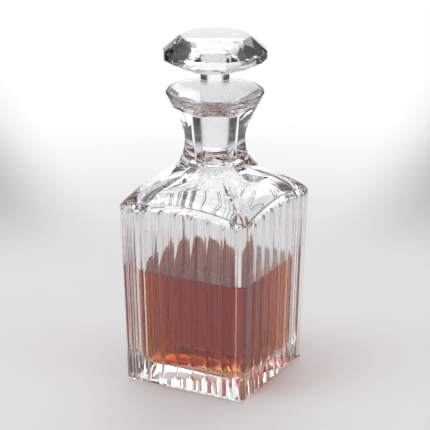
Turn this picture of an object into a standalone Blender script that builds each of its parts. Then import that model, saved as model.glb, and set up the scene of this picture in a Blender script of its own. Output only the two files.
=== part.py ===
"""Square cut-glass decanter: a fluted vessel, its lift-out faceted stopper and the whisky inside it.

Every dimension below is in millimetres, and the meshes are made in metres. The origin is the centre of
the flat base, +Z is up, and the four fluted faces look along -Y, +X, +Y and -X.
"""

import math

import bmesh
import bpy
import numpy as np

MM = 0.001

# Vessel, outside
SIDE = 103.0  # across two opposite faces, at the level of the shoulder's corners
CORNER_Z = 136.0  # height of the shoulder's four corners
CORNER_R = 4.0  # rounding of the four upright edges
TAPER = 0.00046  # share of the width lost for each millimetre below the corners
ARCH_RISE = 7.0  # how far the top of each face rises from its corners to its middle
EDGE_R = 1.3  # rounding between a face and the shoulder
BASE_CHAMFER = 3.0

# Flutes: shallow grooves with a narrow ridge between them, steep sides and a half-round top
FLUTES = 7
FLUTE_PITCH = 13.1
RIDGE = 1.2  # width left between two flutes
FLUTE_DEPTH = 1.3
SQUARENESS = 6.0  # the higher, the flatter the bottom of a flute and the steeper its sides
FLUTE_TOP_MARGIN = 3.4  # from the top of a flute up to the arched edge
FLUTE_FOOT_Z = 3.0

# Shoulder, neck and mouth
NECK_R, NECK_Z = 21.9, 181.0  # the narrowest place
RIM_R, RIM_Z = 35.3, 216.2
LIP = 3.2  # thickness of the lip at the rim
BORE_TOP_R, BORE_TOP_Z = 10.9, 202.5  # the tapered seat of the stopper
BORE_FOOT_R, BORE_FOOT_Z = 9.8, 164.0
THROAT_R, THROAT_Z = 13.0, 159.0  # the rounded ledge where the cavity opens out under the bore

# Vessel, inside
WALL = 6.5
INNER_CORNER_R = 14.0
FLOOR_Z = 15.0
FLOOR_ROUND = 8.0

# Stopper
GAP = 0.3
GIRDLE_R, GIRDLE_Z, GIRDLE_HALF = 37.3, 242.6, 2.6
TABLE_R, TABLE_RISE = 25.5, 13.0
BREAK_R, BREAK_RISE = 31.0, 8.2  # the ring of facet corners between the table and the girdle
UNDER_R, UNDER_DROP = 27.0, 8.4
STEM_R, STEM_DROP = 10.4, 12.6
HEAD_TURN = math.radians(21.5)  # how the facets are turned against the vessel
PEG_FOOT_Z = 173.2

# Whisky
LEVEL_Z = 86.0

FLUTE_COLUMNS = (-1, -0.8, 0, 0.8, 1)  # where a flute has points, as shares of half its width
CORNER_STEPS = 2


def narrowing(z):
    """Width of the tapered body at a height, as a share of its width at the shoulder."""
    return 1 + TAPER * (np.minimum(z, CORNER_Z) - CORNER_Z)


def face_stations():
    """Along one face from corner to corner: distance from the middle, offset inside a flute, its middle."""
    reach = (FLUTE_PITCH - RIDGE) / 2
    middles = [(flute - (FLUTES - 1) / 2) * FLUTE_PITCH for flute in range(FLUTES)]
    return [(middle + share * reach, share * reach, middle) for middle in middles for share in FLUTE_COLUMNS]


def outline():
    """The plan of the shoulder as columns: position, outward direction, offset in the flute, its middle."""
    half = SIDE / 2
    columns = []
    for turn in range(4):
        c, s = math.cos(turn * math.pi / 2), math.sin(turn * math.pi / 2)
        local = [(along, -half, 0.0, -1.0, offset, middle) for along, offset, middle in face_stations()]
        for i in range(CORNER_STEPS + 1):
            a = -math.pi / 2 + math.pi / 2 * i / CORNER_STEPS
            x = half - CORNER_R + CORNER_R * math.cos(a)
            y = -half + CORNER_R + CORNER_R * math.sin(a)
            local.append((x, y, math.cos(a), math.sin(a), None, None))
        for x, y, nx, ny, offset, middle in local:
            columns.append((c * x - s * y, s * x + c * y, c * nx - s * ny, s * nx + c * ny, offset, middle))
    return columns


def arch_height(x, y):
    """Height of a face's arched top edge above the corners."""
    nearest = min(abs(x), abs(y))
    return ARCH_RISE * (1 - (nearest / (SIDE / 2)) ** 2)


def flute_depth(offset, above):
    """Depth of a flute beside its middle line, and above the centre of its round end."""
    share = math.hypot(offset, max(above, 0.0)) / ((FLUTE_PITCH - RIDGE) / 2)
    return FLUTE_DEPTH * max(1 - share**SQUARENESS, 0.0)


def fluted_rings(columns):
    """Rings from the foot of the flutes up to their round tops."""
    reach = (FLUTE_PITCH - RIDGE) / 2
    rings = [[] for _ in range(5)]
    for x, y, nx, ny, offset, middle in columns:
        if offset is None:
            centre = CORNER_Z - FLUTE_TOP_MARGIN - reach
            top = centre
        else:
            peak = ARCH_RISE * (1 - (middle / (SIDE / 2)) ** 2)
            centre = CORNER_Z + peak - FLUTE_TOP_MARGIN - reach
            top = centre + math.sqrt(max(reach**2 - offset**2, 0.0))
        heights = [FLUTE_FOOT_Z] + [centre - reach + (top - centre + reach) * t for t in (0, 0.6, 0.88, 1)]
        for ring, z in zip(rings, heights):
            cut = 0.0 if offset is None or z is heights[-1] else flute_depth(offset, z - centre)
            k = narrowing(z)
            ring.append((x * k - nx * cut, y * k - ny * cut, z))
    return [np.array(ring) for ring in rings]


def base_ring(columns):
    k = narrowing(0.0)
    inset = BASE_CHAMFER
    return np.array([(x * k - nx * inset, y * k - ny * inset, 0.0) for x, y, nx, ny, _, _ in columns])


def edge_rings(columns):
    """The plain band over the flutes and the rounded edge between it and the shoulder."""
    rings = []
    for inset, drop in ((0.0, EDGE_R), (0.3 * EDGE_R, 0.3 * EDGE_R), (EDGE_R, 0.0)):
        ring = []
        for x, y, nx, ny, _, _ in columns:
            z = CORNER_Z + arch_height(x, y) - drop
            ring.append((x - nx * inset, y - ny * inset, z))
        rings.append(np.array(ring))
    return rings


def bezier(a, b, c, d, t):
    t = np.asarray(t)[:, None]
    a, b, c, d = (np.asarray(p, float) for p in (a, b, c, d))
    return (1 - t) ** 3 * a + 3 * (1 - t) ** 2 * t * b + 3 * (1 - t) * t**2 * c + t**3 * d


def swept_rings(start, curve_of):
    """Rings made by one (radius, height) curve over each point of a starting ring."""
    curves = []
    for x, y, z in start:
        r = math.hypot(x, y)
        curve = curve_of(x, y, r, z)
        curves.append([(x / r * radius, y / r * radius, height) for radius, height in curve])
    return list(np.array(curves).transpose(1, 0, 2))


def cornerness(x, y):
    """0 at the middle of a face and 1 at a corner."""
    return min(1.0, (1 / max(abs(x), abs(y)) * math.hypot(x, y) - 1) / (math.sqrt(2) - 1))


def shoulder_curve(x, y, r, z):
    """From the edge of a face, up over the domed shoulder and into the neck."""
    m = cornerness(x, y)
    angle = math.radians(62 - 12 * m)
    reach = 15 - 2.5 * m
    second = (r - reach * math.cos(angle), z + reach * math.sin(angle))
    third, last = (NECK_R, NECK_Z - 31), (NECK_R, NECK_Z)
    return bezier((r, z), second, third, last, [0.12, 0.26, 0.4, 0.53, 0.65, 0.76, 0.88, 1])


def mouth_profile():
    """From the neck up the flare, over the lip, down the funnel and the bore and out to the throat."""
    last = (RIM_R, RIM_Z - 1.4)
    steps = [0.15, 0.3, 0.45, 0.6, 0.75, 0.88, 1]
    flare = bezier((NECK_R, NECK_Z), (NECK_R, NECK_Z + 10), (29.5, 201.5), last, steps)
    mouth_r = RIM_R - LIP
    lip = [(RIM_R - 0.5, RIM_Z - 0.4), (RIM_R - 1.5, RIM_Z), (mouth_r + 0.9, RIM_Z), (mouth_r, RIM_Z - 0.7)]
    seat = (BORE_TOP_R, BORE_TOP_Z)
    funnel = bezier(lip[-1], (26, 209), (BORE_TOP_R, 208.5), seat, [0.22, 0.42, 0.6, 0.8, 1])
    foot, throat = (BORE_FOOT_R, BORE_FOOT_Z), (THROAT_R, THROAT_Z)
    second, third = (BORE_FOOT_R, BORE_FOOT_Z - 3), (THROAT_R, THROAT_Z + 3.5)
    ledge = bezier(foot, second, third, throat, [0, 0.35, 0.65, 1])
    return [*flare, *lip, *funnel, *ledge]


def inner_plan(columns, shrink=0.0):
    """The rounded square of the cavity at the shoulder, as points seen at the columns' own bearings."""
    half, radius = SIDE / 2 - WALL - shrink, INNER_CORNER_R - shrink
    points = []
    for x, y, *_ in columns:
        d = math.hypot(x, y)
        c, s = x / d, y / d
        far, near = max(abs(c), abs(s)), min(abs(c), abs(s))
        r = half / far
        if r * near > half - radius:
            b = (half - radius) * (far + near)
            r = b + math.sqrt(max(b * b - 2 * (half - radius) ** 2 + radius**2, 0.0))
        points.append((c * r, s * r))
    return points


def cavity_curve(x, y, r, z):
    """From the top of the cavity's upright wall, up under the shoulder to the throat."""
    m = cornerness(x, y)
    angle, reach = math.radians(62 - 12 * m), 14.0
    second = (r - reach * math.cos(angle), z + reach * math.sin(angle))
    third, throat = (THROAT_R + 2, THROAT_Z - 13), (THROAT_R, THROAT_Z)
    return bezier((r, z), second, third, throat, [0, 0.16, 0.34, 0.52, 0.7, 0.87])


def cavity_walls(plan, floor, top_of, shrink=0.0):
    """The cavity from a top height down its tapered walls and round its lower edge to the floor."""
    steps = [(0.0, floor + FLOOR_ROUND)] + [
        (FLOOR_ROUND * (1 - math.cos(a)), floor + FLOOR_ROUND * (1 - math.sin(a)))
        for a in np.radians([25, 50, 72, 90])
    ]
    tops = [(x, y, top_of(x, y)) for x, y in plan]
    rings = [np.array([(x * narrowing(z), y * narrowing(z), z) for x, y, z in tops])]
    for inset, z in steps:
        ring = []
        for x, y in plan:
            r = math.hypot(x, y)
            k = narrowing(z) * (r - inset) / r
            ring.append((x * k, y * k, z))
        rings.append(np.array(ring))
    return rings


def cavity_top(x, y):
    return CORNER_Z - 5.0 + 0.8 * ARCH_RISE * (1 - cornerness(x, y))


def loft(name, rings, material):
    """Joins rings from the bottom of the outside inwards, halving the number of columns where it changes."""
    vertices, faces, starts = [], [], []
    for ring in rings:
        starts.append(len(vertices))
        vertices.extend(tuple(float(v) * MM for v in p) for p in ring)
    for i in range(len(rings) - 1):
        n, m, a, b = len(rings[i]), len(rings[i + 1]), starts[i], starts[i + 1]
        for j in range(m):
            k = (j + 1) % m
            if n == m:
                faces.append((a + j, a + k, b + k, b + j))
            else:
                p, q, r = a + 2 * j, a + 2 * j + 1, a + (2 * j + 2) % n
                faces += [(p, q, b + j), (q, b + k, b + j), (q, r, b + k)]
    faces.append(tuple(range(starts[0] + len(rings[0]) - 1, starts[0] - 1, -1)))
    faces.append(tuple(range(starts[-1], starts[-1] + len(rings[-1]))))
    mesh = bpy.data.meshes.new(name)
    mesh.from_pydata(vertices, [], faces)
    return add_object(name, mesh, material)


def add_object(name, mesh, material, smooth_angle=32.0):
    bm = bmesh.new()
    bm.from_mesh(mesh)
    bmesh.ops.recalc_face_normals(bm, faces=bm.faces)
    bm.to_mesh(mesh)
    bm.free()
    mesh.shade_smooth()
    mesh.set_sharp_from_angle(angle=math.radians(smooth_angle))
    obj = bpy.data.objects.new(name, mesh)
    bpy.context.scene.collection.objects.link(obj)
    if material:
        mesh.materials.append(material)
    return obj


def make_material(name, colour, roughness, ior, transmission):
    material = bpy.data.materials.new(name)
    material.use_nodes = True
    shader = next(node for node in material.node_tree.nodes if node.type == "BSDF_PRINCIPLED")
    shader.inputs["Base Color"].default_value = (*colour, 1.0)
    shader.inputs["Roughness"].default_value = roughness
    shader.inputs["IOR"].default_value = ior
    shader.inputs["Transmission Weight"].default_value = transmission
    return material


def round_rings(columns, profile):
    """Rings of a turned shape, with their points at the columns' bearings."""
    rings = []
    for radius, z in profile:
        ring = []
        for x, y, *_ in columns:
            d = math.hypot(x, y)
            ring.append((x / d * radius, y / d * radius, z))
        rings.append(np.array(ring))
    return rings


def build_vessel(columns, material):
    half_columns = columns[::2]
    edge = edge_rings(columns)
    outside = [base_ring(columns), *fluted_rings(columns), *edge]
    shoulder = swept_rings(edge[-1][::2], shoulder_curve)
    mouth = round_rings(half_columns, mouth_profile())
    plan = inner_plan(half_columns)
    walls = cavity_walls(plan, FLOOR_Z, cavity_top)
    vault = swept_rings(walls[0], cavity_curve)
    return loft("decanter_body", outside + shoulder + mouth + vault[:0:-1] + walls, material)


def build_whisky(columns, material):
    plan = inner_plan(columns[::2], GAP)
    walls = cavity_walls(plan, FLOOR_Z + GAP, lambda x, y: LEVEL_Z)
    return loft("whisky", walls[::-1], material)


def facet_ring(radius, z, count, turn):
    angles = [turn + 2 * math.pi * i / count for i in range(count)]
    return [(radius * math.cos(a), radius * math.sin(a), z) for a in angles]


def build_head():
    """The faceted head: the convex shape around its rings of facet corners."""
    eighth = math.pi / 8
    points = facet_ring(TABLE_R, GIRDLE_Z + TABLE_RISE, 8, HEAD_TURN)
    points += facet_ring(BREAK_R, GIRDLE_Z + BREAK_RISE, 8, HEAD_TURN + eighth)
    points += facet_ring(GIRDLE_R, GIRDLE_Z + GIRDLE_HALF, 16, HEAD_TURN)
    points += facet_ring(GIRDLE_R, GIRDLE_Z - GIRDLE_HALF, 16, HEAD_TURN)
    points += facet_ring(UNDER_R, GIRDLE_Z - UNDER_DROP, 8, HEAD_TURN + eighth)
    points += facet_ring(STEM_R + 3, GIRDLE_Z - STEM_DROP, 8, HEAD_TURN)
    bm = bmesh.new()
    for x, y, z in points:
        bm.verts.new((x * MM, y * MM, z * MM))
    bmesh.ops.convex_hull(bm, input=bm.verts)
    bmesh.ops.dissolve_limit(bm, angle_limit=math.radians(0.5), verts=bm.verts, edges=bm.edges)
    mesh = bpy.data.meshes.new("stopper")
    bm.to_mesh(mesh)
    bm.free()
    return mesh


def build_stopper(columns, material):
    stopper = add_object("stopper", build_head(), material, 1.0)
    slope = (BORE_TOP_R - BORE_FOOT_R) / (BORE_TOP_Z - BORE_FOOT_Z)
    foot_r = BORE_FOOT_R + slope * (PEG_FOOT_Z - BORE_FOOT_Z) - GAP
    profile = [
        (foot_r - 1.2, PEG_FOOT_Z),
        (foot_r + 1.2 * slope, PEG_FOOT_Z + 1.2),
        (BORE_TOP_R - GAP, BORE_TOP_Z),
        (STEM_R, BORE_TOP_Z + 3.0),
        (STEM_R, GIRDLE_Z - STEM_DROP - 3.0),
        (STEM_R + 1.6, GIRDLE_Z - STEM_DROP + 0.4),
        (STEM_R + 1.6, GIRDLE_Z - STEM_DROP + 2.0),
    ]
    peg = loft("stopper_peg", round_rings(columns[::2], profile), None)
    peg.hide_render = True
    peg.display_type = "WIRE"
    join = stopper.modifiers.new("join_peg", "BOOLEAN")
    join.operation = "UNION"
    join.solver = "EXACT"
    join.object = peg
    return stopper


def main():
    for obj in list(bpy.data.objects):
        bpy.data.objects.remove(obj, do_unlink=True)
    columns = outline()
    build_vessel(columns, make_material("clear_glass", (0.98, 0.985, 0.985), 0.0, 1.53, 1.0))
    build_whisky(columns, make_material("amber_liquid", (0.62, 0.14, 0.025), 0.0, 1.36, 0.9))
    build_stopper(columns, make_material("stopper_glass", (0.985, 0.99, 0.99), 0.0, 1.53, 1.0))


main()
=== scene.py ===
"""Looks for the square cut-glass decanter: fine meshes over the CAD nodes, glass, spirit, a pale studio."""

import math

import bmesh
import bpy
import numpy as np
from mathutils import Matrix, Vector


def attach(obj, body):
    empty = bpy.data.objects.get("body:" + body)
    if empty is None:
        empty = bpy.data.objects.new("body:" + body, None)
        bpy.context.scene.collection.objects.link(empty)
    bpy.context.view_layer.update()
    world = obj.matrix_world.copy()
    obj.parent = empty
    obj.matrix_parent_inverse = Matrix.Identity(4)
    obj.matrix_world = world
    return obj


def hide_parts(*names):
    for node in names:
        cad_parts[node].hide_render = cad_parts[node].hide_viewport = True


MM = 0.001

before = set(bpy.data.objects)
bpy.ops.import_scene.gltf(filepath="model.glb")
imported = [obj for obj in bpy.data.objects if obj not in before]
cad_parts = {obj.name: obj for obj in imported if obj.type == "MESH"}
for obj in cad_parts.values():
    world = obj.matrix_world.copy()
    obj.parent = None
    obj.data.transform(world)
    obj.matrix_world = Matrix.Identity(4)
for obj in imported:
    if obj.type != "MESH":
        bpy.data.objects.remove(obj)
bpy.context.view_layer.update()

# The decanter in millimetres, as in the CAD part
SIDE, CORNER_Z, CORNER_R, TAPER = 103.0, 136.0, 4.0, 0.00046
ARCH_RISE, EDGE_R, BASE_CHAMFER = 7.0, 1.3, 3.0
FLUTES, PITCH, RIDGE, DEPTH, SQUARENESS, TOP_MARGIN, FOOT_Z = 7, 13.1, 1.2, 1.3, 6.0, 3.4, 3.0
SHOULDER_ANGLE, ANGLE_FALL = 62, 12  # degrees at the middle of a face, and how much less at a corner
SHOULDER_REACH, REACH_FALL, VAULT_REACH = 15, 2.5, 14.0
NECK_R, NECK_Z, RIM_R, RIM_Z, LIP = 21.9, 181.0, 35.3, 216.2, 3.2
BORE_TOP_R, BORE_TOP_Z, BORE_FOOT_R, BORE_FOOT_Z = 10.9, 202.5, 9.8, 164.0
THROAT_R, THROAT_Z = 13.0, 159.0
WALL, INNER_CORNER_R, FLOOR_Z, FLOOR_ROUND = 6.5, 14.0, 15.0, 8.0
GAP = 0.3
GIRDLE_R, GIRDLE_Z, GIRDLE_HALF = 37.3, 242.6, 2.6
TABLE_R, TABLE_RISE, BREAK_R, BREAK_RISE = 25.5, 13.0, 31.0, 8.2
UNDER_R, UNDER_DROP, STEM_R, STEM_DROP = 27.0, 8.4, 10.4, 12.6
HEAD_TURN, PEG_FOOT_Z = math.radians(21.5), 173.2
LEVEL_Z = 86.0
WETTED = 0.2  # how far the spirit's skin runs into the glass, so that no air shows between them
MENISCUS = 1.3  # how far the spirit's surface climbs the glass
MENISCUS_CURVE = ((0.45, 0.85), (0.9, 0.45), (1.5, 0.2), (2.4, 0.05), (3.6, 0.0))  # inset, rise above level
LIP_OUTER_R, LIP_INNER_R = 1.6, 1.2
PEG_FOOT_ROUND, STEM_FLARE_R, STEM_FLARE_RISE = 1.2, 1.6, 3.4
FACET_EDGE = 0.22

# How finely the meshes are divided
PER_FLUTE = 14
CORNER_STEPS = 8
STEM_SIDES = 128


def narrowing(z):
    """Scale of the body's plan at a height, which is 1 at the shoulder."""
    return 1 + TAPER * (min(z, CORNER_Z) - CORNER_Z)


def outline():
    """Plan of the shoulder in columns: position, outward direction, offset in a flute, the flute's middle."""
    half, reach, columns = SIDE / 2, (PITCH - RIDGE) / 2, []
    for turn in range(4):
        c, s = math.cos(turn * math.pi / 2), math.sin(turn * math.pi / 2)
        local = []
        for flute in range(FLUTES):
            middle = (flute - (FLUTES - 1) / 2) * PITCH
            for share in np.linspace(-1, 1, PER_FLUTE + 1):
                offset = reach * math.sin(math.pi / 2 * share)
                local.append((middle + offset, -half, 0.0, -1.0, offset, middle))
        for i in range(CORNER_STEPS + 1):
            a = -math.pi / 2 + math.pi / 2 * i / CORNER_STEPS
            x, y = half - CORNER_R + CORNER_R * math.cos(a), -half + CORNER_R + CORNER_R * math.sin(a)
            local.append((x, y, math.cos(a), math.sin(a), None, None))
        for x, y, nx, ny, offset, middle in local:
            columns.append((c * x - s * y, s * x + c * y, c * nx - s * ny, s * nx + c * ny, offset, middle))
    return columns


def arch_height(x, y):
    """Height of the arched edge over its corners."""
    return ARCH_RISE * (1 - (min(abs(x), abs(y)) / (SIDE / 2)) ** 2)


def cornerness(x, y):
    """0 in line with the middle of a face and 1 in line with a corner."""
    return min(1.0, (math.hypot(x, y) / max(abs(x), abs(y)) - 1) / (math.sqrt(2) - 1))


def flute_depth(offset, above):
    """Depth of a flute: nearly flat across its middle and steep at its sides and round its top."""
    share = math.hypot(offset, max(above, 0.0)) / ((PITCH - RIDGE) / 2)
    return DEPTH * max(1 - share**SQUARENESS, 0.0)


def bezier(a, b, c, d, t):
    t = np.asarray(t)[:, None]
    a, b, c, d = (np.asarray(p, float) for p in (a, b, c, d))
    return (1 - t) ** 3 * a + 3 * (1 - t) ** 2 * t * b + 3 * (1 - t) * t**2 * c + t**3 * d


def foot_rings(columns):
    rings = []
    for inset, z in ((BASE_CHAMFER + 1.0, 0.0), (BASE_CHAMFER, 0.25), (BASE_CHAMFER - 0.35, 0.7)):
        k = narrowing(z)
        ring = [(x * k - nx * inset, y * k - ny * inset, z) for x, y, nx, ny, *_ in columns]
        rings.append(np.array(ring))
    return rings


def fluted_rings(columns):
    reach, shares = (PITCH - RIDGE) / 2, [0, 0.3, 0.5, 0.64, 0.76, 0.86, 0.93, 0.97, 1]
    rings = [[] for _ in range(len(shares) + 3)]
    for x, y, nx, ny, offset, middle in columns:
        peak = 0.0 if offset is None else ARCH_RISE * (1 - (middle / (SIDE / 2)) ** 2)
        centre = CORNER_Z + peak - TOP_MARGIN - reach
        top = centre + (0.0 if offset is None else math.sqrt(max(reach**2 - offset**2, 0.0)))
        heights = [FOOT_Z, 45.0, 85.0] + [centre - reach + (top - centre + reach) * t for t in shares]
        for ring, z in zip(rings, heights):
            cut = 0.0 if offset is None or z is heights[-1] else flute_depth(offset, z - centre)
            k = narrowing(z)
            ring.append((x * k - nx * cut, y * k - ny * cut, z))
    return [np.array(ring) for ring in rings]


def edge_rings(columns):
    rings = []
    for a in np.radians([0, 22.5, 45, 67.5, 90]):
        inset, drop = EDGE_R * (1 - math.cos(a)), EDGE_R * (1 - math.sin(a))
        ring = []
        for x, y, nx, ny, *_ in columns:
            ring.append((x - nx * inset, y - ny * inset, CORNER_Z + arch_height(x, y) - drop))
        rings.append(np.array(ring))
    return rings


def swept_rings(start, curve_of):
    """Rings made by sweeping each point of the first one along its own curve of radius and height."""
    curves = []
    for x, y, z in start:
        r = math.hypot(x, y)
        curves.append([(x / r * radius, y / r * radius, height) for radius, height in curve_of(x, y, r, z)])
    return list(np.array(curves).transpose(1, 0, 2))


def shoulder_curve(x, y, r, z):
    m = cornerness(x, y)
    angle, reach = math.radians(SHOULDER_ANGLE - ANGLE_FALL * m), SHOULDER_REACH - REACH_FALL * m
    second = (r - reach * math.cos(angle), z + reach * math.sin(angle))
    return bezier((r, z), second, (NECK_R, NECK_Z - 31), (NECK_R, NECK_Z), np.linspace(0.04, 1, 26))


def mouth_profile():
    """Radius and height from the neck out over the lip and in down the funnel and the bore to the throat."""
    flare_foot, flare_top = (NECK_R, NECK_Z), (RIM_R, RIM_Z - LIP_OUTER_R)
    flare = bezier(flare_foot, (NECK_R, NECK_Z + 10), (29.5, 201.5), flare_top, np.linspace(0.05, 1, 20))
    outer, inner = RIM_R - LIP_OUTER_R, RIM_R - LIP + LIP_INNER_R
    lip = [
        (outer + LIP_OUTER_R * math.cos(a), RIM_Z - LIP_OUTER_R + LIP_OUTER_R * math.sin(a))
        for a in np.radians([20, 40, 60, 80, 90])
    ]
    lip += [
        (inner - LIP_INNER_R * math.sin(a), RIM_Z - LIP_INNER_R + LIP_INNER_R * math.cos(a))
        for a in np.radians([0, 20, 45, 70, 90])
    ]
    bore_top, bore_foot, throat = (BORE_TOP_R, BORE_TOP_Z), (BORE_FOOT_R, BORE_FOOT_Z), (THROAT_R, THROAT_Z)
    funnel = bezier(lip[-1], (26, 209), (BORE_TOP_R, 208.5), bore_top, np.linspace(0.06, 1, 18))
    below, above = (BORE_FOOT_R, BORE_FOOT_Z - 3), (THROAT_R, THROAT_Z + 3.5)
    mouth = bezier(bore_foot, below, above, throat, np.linspace(0, 1, 12))
    return [*flare, *lip, *funnel, *mouth]


def inner_plan(columns, shrink=0.0):
    """Plan of the cavity, a rounded square, with one point in line with each outer column."""
    half, radius, points = SIDE / 2 - WALL - shrink, INNER_CORNER_R - shrink, []
    for x, y, *_ in columns:
        d = math.hypot(x, y)
        c, s = x / d, y / d
        far, near = max(abs(c), abs(s)), min(abs(c), abs(s))
        r = half / far
        if r * near > half - radius:
            b = (half - radius) * (far + near)
            r = b + math.sqrt(max(b * b - 2 * (half - radius) ** 2 + radius**2, 0.0))
        points.append((c * r, s * r))
    return points


def cavity_curve(x, y, r, z):
    m = cornerness(x, y)
    angle = math.radians(SHOULDER_ANGLE - ANGLE_FALL * m)
    second = (r - VAULT_REACH * math.cos(angle), z + VAULT_REACH * math.sin(angle))
    third, throat = (THROAT_R + 2, THROAT_Z - 13), (THROAT_R, THROAT_Z)
    return bezier((r, z), second, third, throat, np.linspace(0, 0.97, 24))


def cavity_walls(plan, floor, top_of):
    """Rings from the top of the cavity's walls down and round into its floor."""
    steps = [(0.0, floor + FLOOR_ROUND)]
    for a in np.radians(np.linspace(9, 90, 10)):
        steps.append((FLOOR_ROUND * (1 - math.cos(a)), floor + FLOOR_ROUND * (1 - math.sin(a))))
    tops = [(x, y, top_of(x, y)) for x, y in plan]
    rings = [np.array([(x * narrowing(z), y * narrowing(z), z) for x, y, z in tops])]
    for inset, z in steps:
        ring = []
        for x, y in plan:
            r = math.hypot(x, y)
            k = narrowing(z) * (r - inset) / r
            ring.append((x * k, y * k, z))
        rings.append(np.array(ring))
    return rings


def spirit_rings(columns):
    """The spirit from its floor up to its level, with the surface drawn a little up the glass all round."""
    plan = inner_plan(columns, -WETTED)
    rings = cavity_walls(plan, FLOOR_Z - WETTED, lambda x, y: LEVEL_Z + MENISCUS)[::-1]
    for inset, rise in MENISCUS_CURVE:
        z = LEVEL_Z + rise
        k = narrowing(z)
        shares = [k * (1 - inset / math.hypot(x, y)) for x, y in plan]
        rings.append(np.array([(x * share, y * share, z) for (x, y), share in zip(plan, shares)]))
    return rings


def cavity_top(x, y):
    return CORNER_Z - 5.0 + 0.8 * ARCH_RISE * (1 - cornerness(x, y))


def round_rings(columns, profile):
    """Circles of the profile's radii and heights, with one point on the bearing of each column."""
    bearings = [(x / math.hypot(x, y), y / math.hypot(x, y)) for x, y, *_ in columns]
    return [np.array([(c * r, s * r, z) for c, s in bearings]) for r, z in profile]


def loft(name, rings):
    """Mesh of quads between rings, closed by a flat face at each end."""
    n = len(rings[0])
    vertices = np.concatenate(rings) * MM
    a = (np.arange(len(rings) - 1)[:, None] * n + np.arange(n)[None]).ravel()
    b = (np.arange(len(rings) - 1)[:, None] * n + (np.arange(n)[None] + 1) % n).ravel()
    faces = np.stack([a, b, b + n, a + n], 1).tolist()
    faces += [list(range(n))[::-1], list(range(len(vertices) - n, len(vertices)))]
    mesh = bpy.data.meshes.new(name)
    mesh.from_pydata(vertices.tolist(), [], faces)
    return mesh


def place(name, mesh, *materials, sharp=28.0):
    """Object of a mesh in the scene, shaded smooth but for edges sharper than the given degrees."""
    bm = bmesh.new()
    bm.from_mesh(mesh)
    bmesh.ops.recalc_face_normals(bm, faces=bm.faces)
    bm.to_mesh(mesh)
    bm.free()
    mesh.shade_smooth()
    mesh.set_sharp_from_angle(angle=math.radians(sharp))
    for material in materials:
        mesh.materials.append(material)
    obj = bpy.data.objects.new(name, mesh)
    bpy.context.scene.collection.objects.link(obj)
    return obj


def paint_where(obj, index, test):
    for polygon in obj.data.polygons:
        if test(polygon.center / MM):
            polygon.material_index = index


# ---------------------------------------------------------------- materials

WAVES = (65.0, 0.00002)  # of blown and polished glass: how many to a metre, and their height in metres
GRAIN = (3500.0, 0.000004)  # of the ground seat
GROUND_ROUGHNESS, WORN_ROUGHNESS = 0.06, 0.3
WORN_HEIGHT, WORN_FROM = (0.0002, 0.0008), (0.0425, 0.0435)  # metres up and outwards: the foot's rubbed rim
CLEAR_TINT, GROUND_TINT = (0.985, 0.99, 0.99), (0.97, 0.975, 0.975)
GLASS_IOR, SPIRIT_IOR = 1.53, 1.36
GLASS_SHADOW, SPIRIT_SHADOW = (0.9, 0.91, 0.92), (0.95, 0.8, 0.6)
SPIRIT_COLOUR, SPIRIT_DENSITY = (0.87, 0.5, 0.03), 105.0


def node_tree(material):
    material.use_nodes = True
    tree = material.node_tree
    tree.nodes.clear()
    return tree, tree.nodes.new("ShaderNodeOutputMaterial")


def wire(tree):
    """Short makers of math, map-range and ramp nodes on one tree."""
    new, link = tree.nodes.new, tree.links.new

    def put(socket, value):
        if isinstance(value, (int, float)):
            socket.default_value = value
        else:
            link(value, socket)

    def calc(operation, *values):
        node = new("ShaderNodeMath")
        node.operation = operation
        for socket, value in zip(node.inputs, values):
            put(socket, value)
        return node.outputs[0]

    def smooth(value, low, high, start=0.0, end=1.0):
        node = new("ShaderNodeMapRange")
        node.interpolation_type = "SMOOTHSTEP"
        for socket, given in zip(node.inputs, (value, low, high, start, end)):
            put(socket, given)
        return node.outputs["Result"]

    def ramp(value, stops):
        """The level at value, eased between stops of (value, level)."""
        low, high = stops[0][0], stops[-1][0]
        node = new("ShaderNodeValToRGB")
        node.color_ramp.interpolation = "EASE"
        elements = node.color_ramp.elements
        elements[0].position, elements[-1].position = 0.0, 1.0
        for at, _ in stops[1:-1]:
            elements.new((at - low) / (high - low))
        for element, (_, level) in zip(elements, stops):
            element.color = (level, level, level, 1)
        put(node.inputs[0], calc("DIVIDE", calc("SUBTRACT", value, low), high - low))
        return node.outputs["Color"]

    return calc, smooth, ramp


def rippled(tree, where, scale, height):
    """A normal disturbed by soft waves: how many there are to a metre, and their height in metres."""
    noise, bump = tree.nodes.new("ShaderNodeTexNoise"), tree.nodes.new("ShaderNodeBump")
    noise.inputs["Scale"].default_value = scale
    noise.inputs["Detail"].default_value = 1.0
    bump.inputs["Distance"].default_value = height
    tree.links.new(where, noise.inputs["Vector"])
    tree.links.new(noise.outputs["Fac"], bump.inputs["Height"])
    return bump.outputs["Normal"]


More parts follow.
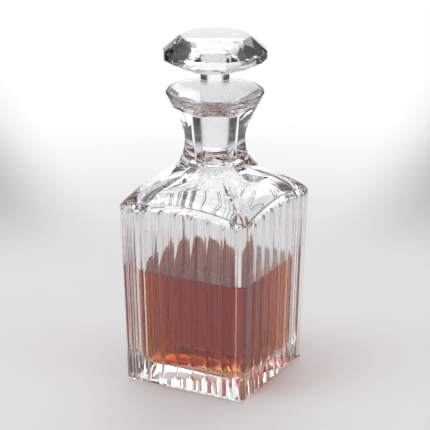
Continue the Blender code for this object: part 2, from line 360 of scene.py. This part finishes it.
def glass_material(name, tint, roughness=0.0, ior=GLASS_IOR, waves=WAVES, shadow=GLASS_SHADOW):
    """Clear glass, matt along the rim it stands on, that lets a lamp's light through with a slight tint."""
    material = bpy.data.materials.new(name)
    tree, out = node_tree(material)
    new, link = tree.nodes.new, tree.links.new
    calc, smooth, _ = wire(tree)
    where, split = new("ShaderNodeTexCoord"), new("ShaderNodeSeparateXYZ")
    link(where.outputs["Object"], split.inputs[0])
    x, y, z = split.outputs
    outward = calc("MAXIMUM", calc("ABSOLUTE", x), calc("ABSOLUTE", y))
    worn = calc("MULTIPLY", smooth(outward, *WORN_FROM), smooth(z, *WORN_HEIGHT, 1.0, 0.0))
    glass = new("ShaderNodeBsdfPrincipled")
    glass.inputs["Base Color"].default_value = (*tint, 1)
    glass.inputs["IOR"].default_value = ior
    glass.inputs["Transmission Weight"].default_value = 1.0
    link(calc("MAXIMUM", calc("MULTIPLY", worn, WORN_ROUGHNESS), roughness), glass.inputs["Roughness"])
    if waves:
        link(rippled(tree, where.outputs["Object"], *waves), glass.inputs["Normal"])
    clear = new("ShaderNodeBsdfTransparent")
    clear.inputs["Color"].default_value = (*shadow, 1)
    path, mix = new("ShaderNodeLightPath"), new("ShaderNodeMixShader")
    link(path.outputs["Is Shadow Ray"], mix.inputs["Fac"])
    link(glass.outputs["BSDF"], mix.inputs[1])
    link(clear.outputs["BSDF"], mix.inputs[2])
    link(mix.outputs["Shader"], out.inputs["Surface"])
    return material


def spirit_material(name):
    material = glass_material(name, (1.0, 1.0, 1.0), ior=SPIRIT_IOR, waves=None, shadow=SPIRIT_SHADOW)
    tree = material.node_tree
    out = next(n for n in tree.nodes if n.type == "OUTPUT_MATERIAL")
    soak = tree.nodes.new("ShaderNodeVolumeAbsorption")
    soak.inputs["Color"].default_value = (*SPIRIT_COLOUR, 1)
    soak.inputs["Density"].default_value = SPIRIT_DENSITY
    tree.links.new(soak.outputs["Volume"], out.inputs["Volume"])
    return material


# ---------------------------------------------------------------- pieces


def facet_ring(radius, z, count, turn):
    angles = [turn + 2 * math.pi * i / count for i in range(count)]
    return [(radius * math.cos(a), radius * math.sin(a), z) for a in angles]


def head_mesh():
    """The stopper's cut head: the convex form through its rings of facet corners."""
    eighth = math.pi / 8
    points = facet_ring(TABLE_R, GIRDLE_Z + TABLE_RISE, 8, HEAD_TURN)
    points += facet_ring(BREAK_R, GIRDLE_Z + BREAK_RISE, 8, HEAD_TURN + eighth)
    points += facet_ring(GIRDLE_R, GIRDLE_Z + GIRDLE_HALF, 16, HEAD_TURN)
    points += facet_ring(GIRDLE_R, GIRDLE_Z - GIRDLE_HALF, 16, HEAD_TURN)
    points += facet_ring(UNDER_R, GIRDLE_Z - UNDER_DROP, 8, HEAD_TURN + eighth)
    points += facet_ring(STEM_R + 3, GIRDLE_Z - STEM_DROP, 8, HEAD_TURN)
    bm = bmesh.new()
    for x, y, z in points:
        bm.verts.new((x * MM, y * MM, z * MM))
    bmesh.ops.convex_hull(bm, input=bm.verts)
    bmesh.ops.dissolve_limit(bm, angle_limit=math.radians(0.5), verts=bm.verts, edges=bm.edges)
    mesh = bpy.data.meshes.new("head")
    bm.to_mesh(mesh)
    bm.free()
    return mesh


def applied(obj):
    """The object's mesh with its modifiers applied."""
    graph = bpy.context.evaluated_depsgraph_get()
    return bpy.data.meshes.new_from_object(obj.evaluated_get(graph))


def stopper_mesh():
    """The cut head joined to its round stem and tapered peg."""
    slope = (BORE_TOP_R - BORE_FOOT_R) / (BORE_TOP_Z - BORE_FOOT_Z)
    foot_r = BORE_FOOT_R + slope * (PEG_FOOT_Z - BORE_FOOT_Z) - GAP
    under = GIRDLE_Z - STEM_DROP
    profile = [
        (
            foot_r - PEG_FOOT_ROUND + PEG_FOOT_ROUND * math.sin(a),
            PEG_FOOT_Z + PEG_FOOT_ROUND - PEG_FOOT_ROUND * math.cos(a),
        )
        for a in np.radians([0, 22, 45, 68, 90])
    ]
    profile += [(BORE_TOP_R - GAP, BORE_TOP_Z), (STEM_R + 0.06, BORE_TOP_Z + 1.2), (STEM_R, BORE_TOP_Z + 3)]
    profile += [
        (STEM_R + STEM_FLARE_R * (1 - math.cos(a)), under - 3 + STEM_FLARE_RISE * math.sin(a))
        for a in np.radians([0, 20, 40, 60, 75, 90])
    ]
    profile += [(STEM_R + STEM_FLARE_R, under + 2)]
    around = [(math.cos(a), math.sin(a)) for a in np.linspace(0, 2 * math.pi, STEM_SIDES, endpoint=False)]
    peg = place("peg_helper", loft("peg_helper", round_rings(around, profile)))
    head = place("head_helper", head_mesh())
    bevel = head.modifiers.new("bevel", "BEVEL")
    bevel.width, bevel.segments = FACET_EDGE * MM, 2
    bevel.limit_method, bevel.angle_limit = "ANGLE", math.radians(1.5)
    join = head.modifiers.new("join", "BOOLEAN")
    join.operation, join.solver, join.object = "UNION", "EXACT", peg
    mesh = applied(head)
    for helper in (peg, head):
        bpy.data.objects.remove(helper, do_unlink=True)
    return mesh


def in_bore(centre):
    return BORE_FOOT_Z < centre.z < BORE_TOP_Z and math.hypot(centre.x, centre.y) < BORE_TOP_R + 0.1


def on_peg(centre):
    return PEG_FOOT_Z + 1 < centre.z < BORE_TOP_Z and math.hypot(centre.x, centre.y) < BORE_TOP_R


def build_object():
    clear = glass_material("cut_glass", CLEAR_TINT)
    ground = glass_material("ground_glass", GROUND_TINT, roughness=GROUND_ROUGHNESS, waves=GRAIN)
    columns = outline()
    edge = edge_rings(columns)
    outside = foot_rings(columns) + fluted_rings(columns) + edge
    shoulder = swept_rings(edge[-1], shoulder_curve)
    walls = cavity_walls(inner_plan(columns), FLOOR_Z, cavity_top)
    vault = swept_rings(walls[0], cavity_curve)
    rings = outside + shoulder + round_rings(columns, mouth_profile()) + vault[:0:-1] + walls
    vessel = place("vessel_glass", loft("vessel_glass", rings), clear, ground)
    paint_where(vessel, 1, in_bore)
    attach(vessel, "vessel")
    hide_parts("decanter_body")

    stopper = place("stopper_glass", stopper_mesh(), clear, ground, sharp=18.0)
    paint_where(stopper, 1, on_peg)
    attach(stopper, "stopper")
    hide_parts("stopper")

    spirit = place("spirit", loft("spirit", spirit_rings(columns)), spirit_material("spirit"))
    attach(spirit, "vessel")
    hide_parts("whisky")


# ---------------------------------------------------------------- stage

# A white backdrop behind the object, a dim room to the sides and a white roof. The ring is the studio's
# brightness by bearing in degrees from straight away from the camera, right positive.
RING = [(-180, 0.12), (-75, 0.08), (-32, 0.1), (-16, 1.0), (16, 1.0), (32, 0.1), (75, 0.08), (180, 0.12)]
ROOF = (0.6, 0.8)  # sines of the height between which the ring gives way to the roof
FLOOR_TONE = 0.75
FLOOR_GLOW_FADE = (0.25, 0.7)  # metres from the middle over which the lit floor gives way to a glow of painted light, the studio's brightness
STAGE_HALF, STAGE_Z = 12.0, -0.0002  # metres: the floor's half width, and its height just under the foot

LAMP_AIM = (0, 0, 0.1)
LAMPS = (  # name, position and size in metres, power in watts
    ("key", (-0.9, -0.9, 1.5), (0.9, 0.9), 10),
    ("fill", (1.6, 0.2, 1.2), (0.8, 1.2), 5),
    ("back", (-0.3, 1.6, 1.3), (1.6, 0.8), 10),
)

CAMERA_AT, CAMERA_AIM = (0.6647, -1.2483, 0.6075), (0.0, 0.0, 0.1215)
SENSOR_WIDTH, LENS = 36.0, 172.0  # in millimetres


def bearing(tree, vector):
    """Angle in degrees from straight away from the camera to a direction in the world, right positive."""
    calc, _, _ = wire(tree)
    turn, split = tree.nodes.new("ShaderNodeVectorTransform"), tree.nodes.new("ShaderNodeSeparateXYZ")
    turn.vector_type, turn.convert_from, turn.convert_to = "VECTOR", "WORLD", "CAMERA"
    tree.links.new(vector, turn.inputs[0])
    tree.links.new(turn.outputs[0], split.inputs[0])
    return calc("MULTIPLY", calc("ARCTAN2", split.outputs[0], split.outputs[2]), math.degrees(1))


def floor_material():
    """Plain pale floor that runs out into a glow of painted light: the studio's own brightness at each
    bearing, dark to the sides.
    """
    material = bpy.data.materials.new("floor")
    tree, out = node_tree(material)
    new, link = tree.nodes.new, tree.links.new
    _, smooth, ramp = wire(tree)
    where, length = new("ShaderNodeTexCoord"), new("ShaderNodeVectorMath")
    length.operation = "LENGTH"
    link(where.outputs["Object"], length.inputs[0])
    near, far, mix = new("ShaderNodeBsdfDiffuse"), new("ShaderNodeEmission"), new("ShaderNodeMixShader")
    near.inputs["Color"].default_value = (FLOOR_TONE, FLOOR_TONE, FLOOR_TONE, 1)
    # The far floor glows: painted light of the studio's brightness by bearing, bright ahead and painted shade
    # to the sides
    link(ramp(bearing(tree, where.outputs["Object"]), RING), far.inputs["Strength"])
    link(smooth(length.outputs["Value"], *FLOOR_GLOW_FADE), mix.inputs["Fac"])
    link(near.outputs["BSDF"], mix.inputs[1])
    link(far.outputs["Emission"], mix.inputs[2])
    link(mix.outputs["Shader"], out.inputs["Surface"])
    return material


def build_floor():
    mesh = bpy.data.meshes.new("floor")
    corners = [(x * STAGE_HALF, y * STAGE_HALF, 0) for x, y in ((-1, -1), (1, -1), (1, 1), (-1, 1))]
    mesh.from_pydata(corners, [], [(0, 1, 2, 3)])
    mesh.materials.append(floor_material())
    floor = bpy.data.objects.new("floor", mesh)
    floor.location.z = STAGE_Z
    bpy.context.scene.collection.objects.link(floor)


def build_world():
    """The studio round the object, which turns with the camera as if the object stood on a turntable."""
    world = bpy.data.worlds.new("studio")
    bpy.context.scene.world = world
    world.use_nodes = True
    tree = world.node_tree
    tree.nodes.clear()
    new, link = tree.nodes.new, tree.links.new
    calc, smooth, ramp = wire(tree)
    where, split = new("ShaderNodeTexCoord"), new("ShaderNodeSeparateXYZ")
    link(where.outputs["Generated"], split.inputs[0])
    ring = ramp(bearing(tree, where.outputs["Generated"]), RING)
    roof = smooth(split.outputs[2], *ROOF)
    level = calc("ADD", calc("MULTIPLY", ring, calc("SUBTRACT", 1.0, roof)), roof)
    light, out = new("ShaderNodeBackground"), new("ShaderNodeOutputWorld")
    light.inputs["Color"].default_value = (1, 1, 1, 1)
    link(level, light.inputs["Strength"])
    link(light.outputs["Background"], out.inputs["Surface"])


def aim(obj, target):
    obj.rotation_euler = (Vector(target) - obj.location).to_track_quat("-Z", "Y").to_euler()


def build_lights():
    for name, position, size, power in LAMPS:
        data = bpy.data.lights.new(name, "AREA")
        data.shape, data.size, data.size_y = "RECTANGLE", *size
        data.energy = power
        lamp = bpy.data.objects.new(name, data)
        lamp.location = position
        aim(lamp, LAMP_AIM)
        bpy.context.scene.collection.objects.link(lamp)


def build_camera():
    data = bpy.data.cameras.new("camera")
    data.sensor_width, data.lens = SENSOR_WIDTH, LENS
    camera = bpy.data.objects.new("camera", data)
    camera.location = CAMERA_AT
    aim(camera, CAMERA_AIM)
    bpy.context.scene.collection.objects.link(camera)
    bpy.context.scene.camera = camera


def settings():
    """Enough bounces for light to cross every wall of the glass, and no colour grading."""
    scene = bpy.context.scene
    scene.view_settings.view_transform = "Standard"
    scene.view_settings.look = "None"
    cycles = scene.cycles
    cycles.max_bounces, cycles.transmission_bounces, cycles.glossy_bounces = 32, 28, 12
    cycles.transparent_max_bounces, cycles.diffuse_bounces, cycles.volume_bounces = 16, 4, 0
    cycles.sample_clamp_indirect = 6.0
    cycles.use_denoising = True


build_object()
build_floor()
build_world()
build_lights()
build_camera()
settings()
